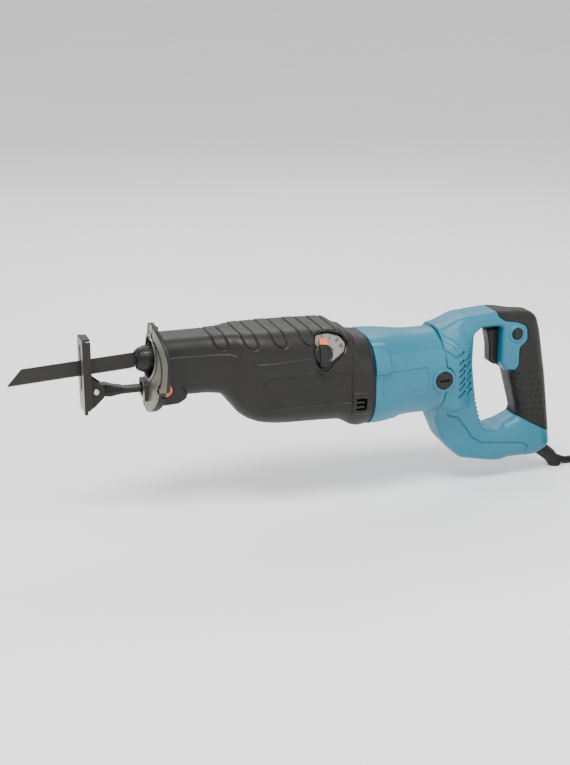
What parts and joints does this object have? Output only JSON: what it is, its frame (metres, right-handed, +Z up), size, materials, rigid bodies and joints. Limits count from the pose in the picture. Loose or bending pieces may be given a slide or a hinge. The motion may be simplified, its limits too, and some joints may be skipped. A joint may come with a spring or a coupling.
{
  "type": "reciprocating saw",
  "caption": "Corded reciprocating saw with a tool-less blade clamp, tilting sliding shoe, orbital dial, round motor housing and D-handle with trigger.",
  "frame": {"origin": "bottom centre of the tool's box without its cord: the floor below the middle of the saw, at the height of the cord guard's lowest point", "axes": "+X along the tool from the blade to the handle, +Y to the right-hand side away from the orbital dial, +Z up"},
  "size_m": [0.808, 0.1653, 0.2055],
  "materials": {
    "cast_aluminium": "cast, satin",
    "screw_steel": "zinc plated",
    "cover_rubber": "satin moulded rubber",
    "guard_metal": "satin grey enamel",
    "steel": "ground",
    "bearing_steel": "polished",
    "lamination": "stacked sheet",
    "black_plastic": "fine moulded texture",
    "teal_plastic": "fine moulded texture, semi matt",
    "brass": "drawn",
    "carbon": "pressed carbon",
    "dial_silver": "printed foil",
    "grip_rubber": "soft dimpled rubber",
    "cord_rubber": "extruded, satin",
    "bronze": "sintered",
    "seal_rubber": "moulded",
    "blade_steel": "dark enamel, ground teeth",
    "clamp_dark": "dark satin",
    "copper": "turned",
    "orange_plastic": "moulded",
    "dark_steel": "black oxide",
    "shoe_metal": "black oxide with a worn front",
    "red_plastic": "moulded"
  },
  "bodies": {
    "housing": {"gear_housing": "cast_aluminium", "crank_cap": "cast_aluminium", "cap_screws": "screw_steel", "front_cover": "cover_rubber", "nose_guard": "guard_metal", "guide_pivot_pins": "steel", "crank_bearings": "bearing_steel", "front_bearing": "bearing_steel", "rear_bearing": "bearing_steel", "stator": "lamination", "motor_collar": "black_plastic", "air_baffle": "black_plastic", "motor_housing": "teal_plastic", "case_screws": "screw_steel", "brush_holders": "brass", "carbon_brushes": "carbon", "brush_springs": "steel", "brush_caps": "black_plastic", "dial_base": "black_plastic", "dial_plate": "dial_silver", "handle_shell_left": "teal_plastic", "handle_shell_right": "teal_plastic", "handle_screws": "screw_steel", "grip_rubber": "grip_rubber", "switch_body": "black_plastic", "cord_clamp": "black_plastic", "cord_guard": "cord_rubber", "power_cord": "cord_rubber", "cord_coil": "cord_rubber", "cord_tail": "cord_rubber", "plug_body": "cord_rubber", "plug_pins": "brass"},
    "guide": {"plunger_guide": "steel", "guide_bushings": "bronze", "dust_seal": "seal_rubber"},
    "plunger": {"plunger": "steel", "clamp_holder": "steel", "clamp_cross_pin": "steel", "blade": "blade_steel"},
    "clamp_sleeve": {"clamp_sleeve": "clamp_dark"},
    "crank": {"crank_gear": "steel", "crank_shaft": "steel", "crank_pin": "steel", "crank_roller": "bearing_steel"},
    "armature": {"armature_shaft": "steel", "drive_pinion": "steel", "armature_core": "lamination", "commutator": "copper", "cooling_fan": "black_plastic"},
    "orbit_lever": {"orbit_lever": "black_plastic", "lever_pointer": "orange_plastic", "cam_pin": "steel"},
    "shoe_stem": {"shoe_stem": "dark_steel"},
    "shoe": {"shoe_plate": "shoe_metal", "shoe_pin": "steel"},
    "shoe_lock_button": {"shoe_lock_button": "red_plastic"},
    "trigger": {"trigger": "black_plastic"},
    "lock_on_button": {"lock_on_button": "black_plastic"}
  },
  "joints": [
    {"name": "orbit_swing", "type": "hinge", "parent": "housing", "child": "guide", "pos_m": [-0.07447, 0, 0.17796], "axis": [0, -1, 0], "range_deg": [0, 1.4]},
    {"name": "plunger_stroke", "type": "slide", "parent": "guide", "child": "plunger", "axis": [0.999, 0, 0.0436], "range_m": [-0.004, 0.028]},
    {"name": "clamp_turn", "type": "hinge", "parent": "plunger", "child": "clamp_sleeve", "pos_m": [-0.17947, 0, 0.17338], "axis": [0.999, 0, 0.0436], "range_deg": [0, 50], "stiffness_Nm_per_rad": 0.05},
    {"name": "armature_spin", "type": "hinge", "parent": "housing", "child": "armature", "pos_m": [0.07053, 0, 0.13294], "axis": [1, 0, 0], "continuous": true},
    {"name": "crank_spin", "type": "hinge", "parent": "housing", "child": "crank", "pos_m": [-0.01947, 0, 0.13294], "axis": [0, 0, 1], "continuous": true},
    {"name": "orbit_lever_turn", "type": "hinge", "parent": "housing", "child": "orbit_lever", "pos_m": [0.00353, -0.0384, 0.17204], "axis": [0, 0.9135, -0.4067], "range_deg": [0, 66]},
    {"name": "shoe_slide", "type": "slide", "parent": "housing", "child": "shoe_stem", "axis": [1, 0, 0], "range_m": [0, 0.03]},
    {"name": "shoe_tilt", "type": "hinge", "parent": "shoe_stem", "child": "shoe", "pos_m": [-0.22647, 0, 0.14644], "axis": [0, 1, 0], "range_deg": [-20, 20]},
    {"name": "shoe_lock_press", "type": "slide", "parent": "housing", "child": "shoe_lock_button", "axis": [0, 1, 0], "range_m": [0, 0.003], "stiffness_N_per_m": 600},
    {"name": "trigger_pull", "type": "slide", "parent": "housing", "child": "trigger", "axis": [1, 0, 0], "range_m": [0, 0.005], "stiffness_N_per_m": 900},
    {"name": "lock_on_press", "type": "slide", "parent": "housing", "child": "lock_on_button", "axis": [0, 1, 0], "range_m": [0, 0.003], "stiffness_N_per_m": 400}
  ],
  "couplings": [
    {"joint": "crank_spin", "follows": "armature_spin", "ratio": -0.25}
  ]
}
